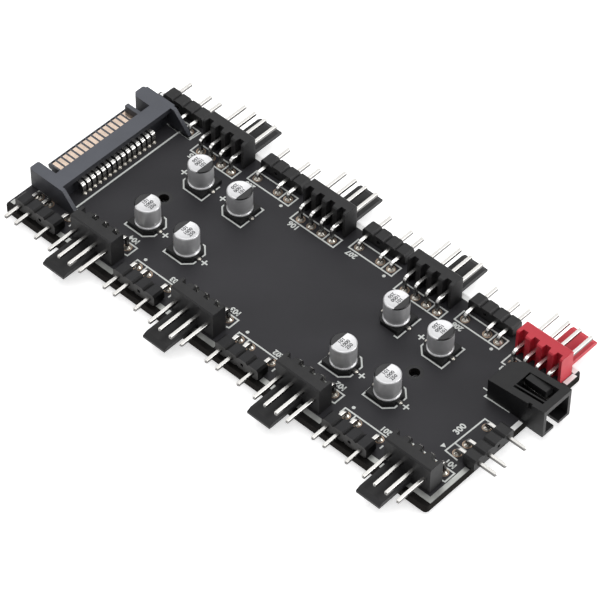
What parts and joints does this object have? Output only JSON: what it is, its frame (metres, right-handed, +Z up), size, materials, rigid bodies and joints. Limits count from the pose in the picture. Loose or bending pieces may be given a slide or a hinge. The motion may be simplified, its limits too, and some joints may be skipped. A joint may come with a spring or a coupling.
{
  "type": "fan and lighting hub board",
  "caption": "Bare circuit board hub: power inlet plug at one end, rows of right-angle fan and light-strip pin headers along both long edges, input headers at the other end.",
  "frame": {"origin": "axis of the left tooling hole at the board's underside", "axes": "+X along the board away from the power plug, +Y towards the edge with the red header, +Z up from the component side"},
  "size_m": [0.106, 0.0528, 0.0086],
  "materials": {
    "board_mask": "satin black solder mask over glass-epoxy",
    "plug_grey": "moulded, fine satin",
    "contact_gold": "pale gold flash",
    "socket_black": "moulded, fine satin",
    "header_black": "moulded, fine satin",
    "header_red": "moulded, fine satin",
    "tinned_pin": "bright tin plate",
    "can_aluminium": "satin drawn aluminium",
    "base_black": "moulded",
    "tinned_lead": "tin plate",
    "silk_white": "printed legend ink",
    "solder": "tinned copper and solder"
  },
  "bodies": {
    "root": {"circuit_board": "board_mask", "plug_housing": "plug_grey", "plug_contacts": "contact_gold", "socket_housing": "socket_black", "socket_pins": "tinned_pin", "fan_header_front_1": "header_black", "fan_pins_front_1": "tinned_pin", "light_header_front_1": "header_black", "light_pins_front_1": "tinned_pin", "fan_header_front_2": "header_black", "fan_pins_front_2": "tinned_pin", "light_header_front_2": "header_black", "light_pins_front_2": "tinned_pin", "fan_header_front_3": "header_black", "fan_pins_front_3": "tinned_pin", "light_header_front_3": "header_black", "light_pins_front_3": "tinned_pin", "fan_header_front_4": "header_black", "fan_pins_front_4": "tinned_pin", "light_header_front_4": "header_black", "light_pins_front_4": "tinned_pin", "fan_header_back_1": "header_black", "fan_pins_back_1": "tinned_pin", "light_header_back_1": "header_black", "light_pins_back_1": "tinned_pin", "fan_header_back_2": "header_black", "fan_pins_back_2": "tinned_pin", "light_header_back_2": "header_black", "light_pins_back_2": "tinned_pin", "fan_header_back_3": "header_black", "fan_pins_back_3": "tinned_pin", "light_header_back_3": "header_black", "light_pins_back_3": "tinned_pin", "fan_header_back_4": "header_red", "fan_pins_back_4": "tinned_pin", "light_header_back_4": "header_black", "light_pins_back_4": "tinned_pin", "input_header": "header_black", "input_pins": "tinned_pin", "capacitor_can_1": "can_aluminium", "capacitor_base_1": "base_black", "capacitor_can_2": "can_aluminium", "capacitor_base_2": "base_black", "capacitor_can_3": "can_aluminium", "capacitor_base_3": "base_black", "capacitor_can_4": "can_aluminium", "capacitor_base_4": "base_black", "capacitor_can_5": "can_aluminium", "capacitor_base_5": "base_black", "capacitor_can_6": "can_aluminium", "capacitor_base_6": "base_black", "capacitor_can_7": "can_aluminium", "capacitor_base_7": "base_black", "capacitor_can_8": "can_aluminium", "capacitor_base_8": "base_black", "capacitor_leads": "tinned_lead"}
  },
  "joints": []
}
